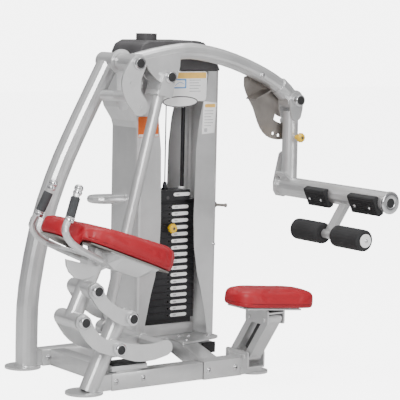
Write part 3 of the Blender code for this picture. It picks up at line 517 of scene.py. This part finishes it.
# ---- pivot caps and fasteners ---------------------------------------------------------
def cap_plug(node, body, radius, far):
    """Black snap-in plug in the end of a chrome pivot pin, and one in its far head."""
    lo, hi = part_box(node)
    x, z = (lo.x + hi.x) / 2, (lo.z + hi.z) / 2
    turned(node + "_plug", (x, lo.y + 0.002, z), (0, -1, 0),
           [(0, radius), (0.0032, radius), (0.0042, radius * 0.93), (0.0048, radius * 0.6),
            (0.0050, 0.0004)], "black_rubber", body)
    turned(node + "_lip", (x, lo.y + 0.0015, z), (0, -1, 0),
           [(0, radius + 0.0015), (0.0022, radius + 0.0030), (0.0030, radius + 0.0022),
            (0.0030, radius - 0.0004), (0.0008, radius - 0.0006)], "chrome", body)
    turned(node + "_far_plug", (x, hi.y - 0.001, z), (0, 1, 0),
           [(0, far), (0.0020, far), (0.0028, far * 0.8), (0.0030, 0.0004)],
           "black_rubber", body)


for node, body in (("main_pivot_pin", "base"), ("foot_arm_pivot_pin", "arm"),
                   ("rod_pivot_pin", "rod"), ("link_pin_post_lower", "base"),
                   ("link_pin_post_upper", "base"), ("link_pin_carriage_lower", "carriage"),
                   ("link_pin_carriage_upper", "carriage")):
    cap_plug(node, body, 0.0205, 0.0140)


def bolt(name, at, axis, body, r=0.0102, slot="chrome"):
    """Button-head socket screw on a washer."""
    d = Vector(axis).normalized()
    turned(name + "_washer", Vector(at) - d * 0.0004, axis,
           [(0, r * 1.35), (0.0016, r * 1.35), (0.0020, r * 1.25)], slot, body, 24)
    turned(name, Vector(at) + d * 0.0014, axis,
           [(0, r), (0.0022, r), (0.0040, r * 0.86), (0.0052, r * 0.60), (0.0054, r * 0.42),
            (0.0030, r * 0.40)], slot, body, 24)
    # the black disc at the bottom of the socket recess is painted shade in the hex hole, not a rubber
    # part
    turned(name + "_socket", Vector(at) + d * 0.0040, axis,
           [(0, r * 0.41), (0.0006, r * 0.41)], "black_rubber", body, 6)


rail_lo, rail_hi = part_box("main_rail")
mid = rail_lo.z + 0.038
for i, dx in enumerate((0.022, 0.160)):
    bolt("rail_bolt_%d" % i, (rail_lo.x + dx, rail_lo.y, mid + 0.003 * i), (0, -1, 0), "base")
    bolt("rail_bolt_far_%d" % i, (rail_lo.x + dx, rail_hi.y, mid), (0, 1, 0), "base")
sleeve_y = CENTRE.y - 0.0405
for i, dx in enumerate((0.028, 0.175)):
    bolt("sleeve_bolt_%d" % i, (rail_hi.x + dx, sleeve_y, mid), (0, -1, 0), "base")
side_lo, side_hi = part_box("side_rail")
for i, dx in enumerate((0.028, 0.600)):
    bolt("side_bolt_%d" % i, (side_lo.x + dx, side_lo.y, mid), (0, -1, 0), "base")
    bolt("side_bolt_far_%d" % i, (side_lo.x + dx, side_hi.y, mid), (0, 1, 0), "base")
floor_lo, floor_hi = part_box("tower_floor_plate")
for i, (dx, dy) in enumerate(((0.234, 0.120), (0.194, 0.140), (0.171, 0.045), (0.330, 0.090))):
    bolt("floor_bolt_%d" % i, (floor_lo.x + dx, floor_lo.y + dy, floor_hi.z), (0, 0, 1), "base",
         0.0080)
arm_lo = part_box("exercise_arm")[0]
rp_lo, rp_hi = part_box("range_plate")
bolt("range_bolt", (rp_lo.x + 0.043, arm_lo.y + 0.0245, rp_hi.z - 0.008), (0, -1, 0), "arm")
for i, (dx, dz) in enumerate(((0.050, -0.020), (0.108, -0.046))):
    bolt("range_bolt_far_%d" % i, (rp_lo.x + dx, rp_hi.y, rp_hi.z + dz), (0, 1, 0), "arm")


# ---- foot bar, rollers and pads --------------------------------------------------------
bar_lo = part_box("foot_arm")[0]
pin_lo, pin_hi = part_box("foot_arm_pivot_pin")
BAR_X, BAR_Z = (pin_lo.x + pin_hi.x) / 2, bar_lo.z + 0.050
turned("bar_end_ring", (BAR_X, bar_lo.y + 0.0095, BAR_Z), (0, -1, 0),
       [(0, 0.0502), (0.0015, 0.0512), (0.0085, 0.0512), (0.0105, 0.0480), (0.0108, 0.0250),
        (0.0098, 0.0230), (0.0070, 0.0225)], "chrome", "foot_lever", 40)
turned("bar_end_plug", (BAR_X, bar_lo.y + 0.0020, BAR_Z), (0, -1, 0),
       [(0, 0.0228), (0.0022, 0.0222), (0.0032, 0.0160), (0.0034, 0.0004)], "black_rubber",
       "foot_lever")


def ribbed(node, body, count, tag):
    """Ribs along a foot pad, and its two fixing screws."""
    lo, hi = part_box(node)
    out = Vector((-0.906, 0, -0.423))
    up = Vector((-0.423, 0, 0.906))
    centre = Vector((BAR_X, (lo.y + hi.y) / 2, BAR_Z))
    face = 0.0640
    for k in range(count):
        t = -0.0345 + 0.069 * k / (count - 1)
        a = centre + out * face + up * t
        ends = [Vector((a.x, lo.y + 0.005, a.z)), Vector((a.x, hi.y - 0.005, a.z))]
        tube("%s_rib_%02d" % (tag, k), [ends[0], ends[0].lerp(ends[1], 0.5), ends[1]],
             0.0022, "black_rubber", body, 8)
    for k, f in enumerate((0.22, 0.78)):
        p = centre + out * (face + 0.0012)
        bolt("%s_screw_%d" % (tag, k), (p.x, lo.y + (hi.y - lo.y) * f, p.z), out, body, 0.0058,
             "chrome")


ribbed("foot_pad_front", "foot_lever", 8, "front_pad")
ribbed("foot_pad_rear", "foot_lever", 8, "rear_pad")
hang_lo, hang_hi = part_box("roller_hanger")
roll_lo, roll_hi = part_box("foam_roller_front")
ROLL_X, ROLL_Z = (roll_lo.x + roll_hi.x) / 2, (roll_lo.z + roll_hi.z) / 2
for tag, y, axis in (("front", hang_lo.y, (0, -1, 0)), ("rear", hang_hi.y, (0, 1, 0))):
    d = Vector(axis)
    turned("roller_disc_" + tag, Vector((ROLL_X, y, ROLL_Z)) - d * 0.0062, axis,
           [(0, 0.0305), (0.0040, 0.0315), (0.0066, 0.0300), (0.0078, 0.0240), (0.0080, 0.0004)],
           "white_placard", "foot_lever")
    bolt("roller_screw_" + tag, Vector((ROLL_X, y, ROLL_Z)) + d * 0.0014, axis, "foot_lever", 0.0065)


# ---- knobs ----------------------------------------------------------------------------
def knob_dress(node, body):
    """Dark centre and finger flutes on a pull knob."""
    lo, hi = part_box(node)
    x, z = (lo.x + hi.x) / 2, (lo.z + hi.z) / 2
    turned(node + "_centre", (x, lo.y + 0.0012, z), (0, -1, 0),
           [(0, 0.0085), (0.0018, 0.0085), (0.0022, 0.0070)], "charcoal_plastic", body, 4)
    for k in range(10):
        a = 2 * math.pi * k / 10
        c, s = math.cos(a), math.sin(a)
        tube("%s_flute_%d" % (node, k), [(x + 0.0212 * c, lo.y + 0.0080, z + 0.0212 * s),
                                        (x + 0.0222 * c, lo.y + 0.0130, z + 0.0222 * s),
                                        (x + 0.0212 * c, lo.y + 0.0190, z + 0.0212 * s)],
             0.0022, "yellow_plastic", body, 8)


knob_dress("foot_arm_pull_pin", "pull_pin")
knob_dress("selector_pin", "pin_key")


# ---- handles --------------------------------------------------------------------------
def dress_handle(tag):
    """Bright ball end, collars and ribbed sleeve on one handle."""
    side = -1 if tag == "front" else 1
    g0 = CENTRE + Vector((-0.1545, side * 0.1210, 0.780))
    g1 = CENTRE + Vector((-0.1180, side * 0.1075, 0.868))
    ax = (g1 - g0).normalized()
    ball = CENTRE + Vector((-0.103, side * 0.1020, 0.895)) - ax * 0.016
    turned("handle_ball_" + tag, ball, ax,
           [(-0.0112, 0.0160), (-0.0100, 0.0182), (-0.0060, 0.0192), (-0.0010, 0.0197),
            (0.0020, 0.0190), (0.0050, 0.0158), (0.0070, 0.0158), (0.0100, 0.0186),
            (0.0160, 0.0196), (0.0220, 0.0188), (0.0270, 0.0160), (0.0300, 0.0118),
            (0.0315, 0.0060), (0.0318, 0.0004)], "chrome", "carriage")
    turned("handle_collar_" + tag, g0 - ax * 0.0246, ax,
           [(0, 0.0180), (0.0010, 0.0200), (0.0040, 0.0212), (0.0120, 0.0212), (0.0145, 0.0190),
            (0.0165, 0.0188), (0.0190, 0.0212), (0.0220, 0.0216), (0.0232, 0.0206)], "chrome",
           "carriage")
    for k in range(17):
        s = 0.0045 + 0.078 * k / 16
        p = g0 + ax * s
        turned("grip_rib_%s_%02d" % (tag, k), p, ax,
               [(-0.0014, 0.0199), (0.0, 0.0207), (0.0014, 0.0199)], "grip_rubber", "carriage", 28)


dress_handle("front")
dress_handle("rear")


# ---- weight stack ---------------------------------------------------------------------
key_lo, key_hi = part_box("selector_pin")
STACK_X = (key_lo.x + key_hi.x) / 2
PITCH = 0.0323
lift_lo, lift_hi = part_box("weight_plates_lifted")
rest_lo, rest_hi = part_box("weight_plates_resting")
LABEL_X = STACK_X + 0.0610


def plate_marks(tag, z, y, body, hole=True):
    """Blank white weight label beside the black mouth of a selector hole."""
    slab("label_" + tag, pill_xz(LABEL_X, z, 0.0470, 0.0082, y + 0.0004), (0, -1, 0), 0.0016,
         "white_placard", body)
    slab("label_mark_" + tag, pill_xz(LABEL_X - 0.0230, z, 0.0095, 0.0036, y - 0.0010),
         (0, -1, 0), 0.0007, "grey_print", body)
    if hole:
        turned("pin_mouth_" + tag, (STACK_X, y + 0.0004, z), (0, -1, 0),
               [(0, 0.0082), (0.0014, 0.0082), (0.0016, 0.0062), (0.0004, 0.0058)],
               "charcoal_plastic", body, 20)


for k in range(4):
    plate_marks("lift_%d" % k, lift_hi.z - PITCH * (k + 0.5) + 0.0009, lift_lo.y, "lifted_stack",
                hole=k != 3)
for k in range(13):
    plate_marks("rest_%02d" % k, rest_hi.z - PITCH * (k + 0.5) + 0.0009, rest_lo.y, "base")
head_lo, head_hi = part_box("head_plate")
plate_marks("head", head_hi.z - 0.020, head_lo.y, "lifted_stack", hole=False)
turned("head_hole", (STACK_X - 0.018, head_lo.y + 0.0004, head_hi.z - 0.034), (0, -1, 0),
       [(0, 0.0080), (0.0014, 0.0080), (0.0016, 0.0060)], "charcoal_plastic", "lifted_stack", 20)
turned("cable_socket", (STACK_X, (head_lo.y + head_hi.y) / 2, head_hi.z - 0.002), (0, 0, 1),
       [(0, 0.0150), (0.008, 0.0150), (0.012, 0.0110), (0.034, 0.0090), (0.038, 0.0060)],
       "dark_rod", "lifted_stack", 24)
cable_y = (head_lo.y + head_hi.y) / 2
cable_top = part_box("guide_rod_left")[1].z - 0.004
cable = turned("lift_cable", (STACK_X, cable_y, head_hi.z + 0.030), (0, 0, 1),
               [(0.0, 0.0032)] + [(k * 0.02, 0.0032) for k in
                                  range(1, int((cable_top - head_hi.z - 0.030) / 0.02))],
               "black_rubber", "base", 12)
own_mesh(cable)
for tag in ("left", "right"):
    lo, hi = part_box("guide_rod_" + tag)
    turned("rod_bush_" + tag, ((lo.x + hi.x) / 2, (lo.y + hi.y) / 2, head_hi.z - 0.001), (0, 0, 1),
           [(0, 0.0150), (0.009, 0.0150), (0.011, 0.0135), (0.011, 0.0100), (0.002, 0.0098)],
           "white_placard", "lifted_stack", 24)


# ---- placards (all blank or generic) ----------------------------------------------------
panel_lo, panel_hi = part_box("instruction_panel")
front = panel_lo.y


def print_box(name, x0, x1, z0, z1, y, slot, body="base", thick=0.0006):
    """Flat printed area with slightly rounded corners on a placard facing -Y."""
    r = min(0.004, (x1 - x0) / 4, (z1 - z0) / 4)
    ring = [(cx + r * math.cos(math.radians(a)), y, cz + r * math.sin(math.radians(a)))
            for cx, cz, a0 in ((x1 - r, z0 + r, -90), (x1 - r, z1 - r, 0), (x0 + r, z1 - r, 90),
                               (x0 + r, z0 + r, 180)) for a in (a0, a0 + 45, a0 + 90)]
    return slab(name, ring, (0, -1, 0), thick, slot, body)


px0, px1, pz1 = panel_lo.x, panel_hi.x, panel_hi.z
print_box("panel_header", px0 + 0.060, px1 - 0.006, pz1 - 0.032, pz1 - 0.004, front + 0.0002,
          "gold_print")
print_box("panel_sketch", px0 + 0.070, px0 + 0.150, pz1 - 0.078, pz1 - 0.034, front + 0.0002,
          "blue_print")
print_box("panel_sketch_inner", px0 + 0.078, px0 + 0.142, pz1 - 0.072, pz1 - 0.040,
          front - 0.0001, "white_placard")
tube("panel_sketch_line", [(px0 + 0.086 + 0.05 * t, front - 0.0008,
                            pz1 - 0.066 + 0.016 * math.sin(2.6 * t)) for t in
                           [k / 10 for k in range(11)]], 0.0010, "blue_print", "base", 8)
for k in range(5):
    print_box("panel_row_%d" % k, px0 + 0.168, px0 + 0.232 - 0.010 * (k % 2),
              pz1 - 0.042 - 0.013 * k, pz1 - 0.038 - 0.013 * k, front + 0.0002, "grey_print")
badge_lo, badge_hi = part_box("blank_badge")
bx, bz = (badge_lo.x + badge_hi.x) / 2, (badge_lo.z + badge_hi.z) / 2
ba, bb = (badge_hi.x - badge_lo.x) / 2, (badge_hi.z - badge_lo.z) / 2
tube("badge_rim", ring_xz(bx, bz, ba - 0.003, bb - 0.003, badge_lo.y - 0.0004), 0.0022,
     "charcoal_plastic", "base", 8, True)

shroud_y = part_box("shroud_right")[0].y
ring = [(0.3030, 1.0480), (0.3740, 1.0530), (0.3840, 1.1950), (0.3110, 1.2040)]
slab("side_placard", [(x, shroud_y + 0.0004, z) for x, z in ring], (0, -1, 0), 0.0014,
     "white_placard", "base", 0.0004)
print_box("side_placard_header", 0.3165, 0.3770, 1.1740, 1.1900, shroud_y - 0.0008,
          "gold_print")
for k in range(6):
    print_box("side_placard_row_%d" % k, 0.3140, 0.3660 - 0.012 * (k % 3 == 2),
              1.1560 - 0.014 * k, 1.1595 - 0.014 * k, shroud_y - 0.0008, "grey_print")
print_box("side_placard_block", 0.3150, 0.3330, 1.0580, 1.0760, shroud_y - 0.0008, "grey_print")
print_box("left_placard", -0.0580, 0.0560, 1.0420, 1.1380, shroud_y + 0.0004, "orange_print",
          thick=0.0014)
print_box("left_placard_field", -0.0560, 0.0540, 1.0440, 1.0560, shroud_y - 0.0008,
          "white_placard")
bolt("shroud_screw_left", (-0.0480, shroud_y, 0.8160), (0, -1, 0), "base", 0.0070)
bolt("shroud_screw_right", (0.3850, shroud_y, 0.5200), (0, -1, 0), "base", 0.0070)


# ---- rubber and welds -----------------------------------------------------------------
def weld(name, at, axis, r, body):
    """Fillet bead where a round tube meets a plate."""
    d, u, v = across(axis)
    ring = [Vector(at) + (u * math.cos(a) + v * math.sin(a)) * (r + 0.0006 * math.sin(40 * a))
            for a in [2 * math.pi * k / 72 for k in range(72)]]
    tube(name, ring, 0.0035, "frame_silver", body, 8, True)


weld("weld_arch_foot", CENTRE + Vector((0.062, 0.597, 0.0110)), (0, 0, 1), 0.0515, "base")
for node in ("link_pin_post_lower", "link_pin_post_upper"):
    lo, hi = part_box(node)
    for tag, y in (("a", CENTRE.y - 0.0445), ("b", CENTRE.y + 0.0445)):
        weld("weld_%s_%s" % (node, tag), ((lo.x + hi.x) / 2, y, (lo.z + hi.z) / 2), (0, 1, 0),
             0.0365, "base")

tf_lo, tf_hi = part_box("tower_foot_tube")
slab("tower_foot_cap", [(tf_lo.x - 0.001, tf_lo.y + 0.001, tf_lo.z - 0.001),
                        (tf_hi.x + 0.001, tf_lo.y + 0.001, tf_lo.z - 0.001),
                        (tf_hi.x + 0.001, tf_lo.y + 0.001, tf_hi.z + 0.001),
                        (tf_lo.x - 0.001, tf_lo.y + 0.001, tf_hi.z + 0.001)], (0, -1, 0), 0.006,
     "black_rubber", "base", 0.0015)

kl_lo, kl_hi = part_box("knee_link_front")


def knee_insert():
    """Black rubber web between the two knee arms' edges, riding on the front arm."""
    a, b = Vector((0, CENTRE.y - 0.055, 0.088)), Vector((0, CENTRE.y - 0.195, 0.278))
    t = (b - a).normalized()
    side = Vector((0, t.z, -t.y))
    x0, x1 = kl_lo.x + 0.016, kl_hi.x - 0.020
    p, q = a + t * 0.034, b - t * 0.034
    ring = [Vector((x, c.y, c.z)) for x, c in ((x0, p), (x1, p), (x1, q), (x0, q))]
    slab("knee_rubber", [r + side * 0.0175 for r in ring], side, 0.017, "black_rubber",
         "knee_front", 0.003)


knee_insert()


# ---- floor, light, camera ---------------------------------------------------------------
def floor():
    """Matt white ground just under the feet, glowing to the camera alone like a lit sweep."""
    me = bpy.data.meshes.new("floor")
    me.from_pydata([(-20, -20, -0.0006), (20, -20, -0.0006), (20, 20, -0.0006),
                    (-20, 20, -0.0006)], [], [[0, 1, 2, 3]])
    ob = bpy.data.objects.new("floor", me)
    bpy.context.scene.collection.objects.link(ob)
    mat, b = shader("studio_floor", (0.70, 0.70, 0.70), 0.85)
    seen = add(mat, "ShaderNodeLightPath")
    glow = add(mat, "ShaderNodeEmission", Strength=5.2)
    both = add(mat, "ShaderNodeAddShader")
    pick = add(mat, "ShaderNodeMixShader")
    out = mat.node_tree.nodes["Material Output"]
    wire(mat, b, "BSDF", both, 0)
    wire(mat, glow, "Emission", both, 1)
    wire(mat, seen, "Is Camera Ray", pick, 0)
    wire(mat, b, "BSDF", pick, 1)
    wire(mat, both, "Shader", pick, 2)
    wire(mat, pick, "Shader", out, "Surface")
    me.materials.append(mat)


def softbox(name, at, target, size, watts):
    """A rectangular area light aimed at a point."""
    light = bpy.data.lights.new(name, "AREA")
    light.shape, light.size, light.size_y, light.energy = "RECTANGLE", size[0], size[1], watts
    ob = bpy.data.objects.new(name, light)
    bpy.context.scene.collection.objects.link(ob)
    ob.location = at
    aim = (Vector(target) - Vector(at)).normalized()
    ob.rotation_euler = aim.to_track_quat("-Z", "Y").to_euler()


def studio():
    """White sweep behind the machine; a graded room and three softboxes light it."""
    world = bpy.data.worlds.new("studio")
    bpy.context.scene.world = world
    world.use_nodes = True
    tree = world.node_tree
    room = tree.nodes["Background"]
    tc = tree.nodes.new("ShaderNodeTexCoord")
    split = tree.nodes.new("ShaderNodeSeparateXYZ")
    ramp = tree.nodes.new("ShaderNodeValToRGB")
    stops = ramp.color_ramp.elements
    stops[0].position, stops[0].color = 0.0, (0.20, 0.20, 0.21, 1)
    stops[1].position, stops[1].color = 0.75, (1, 1, 1, 1)
    tree.links.new(tc.outputs["Generated"], split.inputs["Vector"])
    tree.links.new(split.outputs["Z"], ramp.inputs["Fac"])
    tree.links.new(ramp.outputs["Color"], room.inputs["Color"])
    room.inputs["Strength"].default_value = 0.85
    sweep = tree.nodes.new("ShaderNodeBackground")
    sweep.inputs["Color"].default_value = (1, 1, 1, 1)
    sweep.inputs["Strength"].default_value = 6.0
    seen = tree.nodes.new("ShaderNodeLightPath")
    pick = tree.nodes.new("ShaderNodeMixShader")
    tree.links.new(seen.outputs["Is Camera Ray"], pick.inputs[0])
    tree.links.new(room.outputs[0], pick.inputs[1])
    tree.links.new(sweep.outputs[0], pick.inputs[2])
    tree.links.new(pick.outputs[0], tree.nodes["World Output"].inputs["Surface"])
    softbox("key", (-3.4, -3.2, 3.2), (0, 0, 0.8), (1.6, 2.2), 190)
    softbox("front", (1.2, -4.4, 2.0), (0.1, 0, 0.7), (1.0, 2.4), 60)
    softbox("top", (0.2, 0.3, 4.0), (0, 0, 0.5), (2.2, 2.2), 70)


def camera():
    """Three-quarter view from the pad end, about eye height, long lens."""
    cam = bpy.data.cameras.new("camera")
    cam.sensor_width, cam.lens, cam.clip_end = 36.0, 162.2, 60.0
    ob = bpy.data.objects.new("camera", cam)
    bpy.context.scene.collection.objects.link(ob)
    heading, pitch, roll = (math.radians(a) for a in (35.6281, 6.4913, 1.2229))
    forward = Vector((math.sin(heading) * math.cos(pitch), math.cos(heading) * math.cos(pitch),
                      -math.sin(pitch)))
    right = Vector((math.cos(heading), -math.sin(heading), 0))
    up = right.cross(forward)
    right, up = (right * math.cos(roll) + up * math.sin(roll),
                 up * math.cos(roll) - right * math.sin(roll))
    ob.matrix_world = Matrix((
        (right.x, up.x, -forward.x, CENTRE.x - 4.008), (right.y, up.y, -forward.y, CENTRE.y - 6.412),
        (right.z, up.z, -forward.z, 1.70), (0, 0, 0, 1)))
    bpy.context.scene.camera = ob


floor()
studio()
camera()
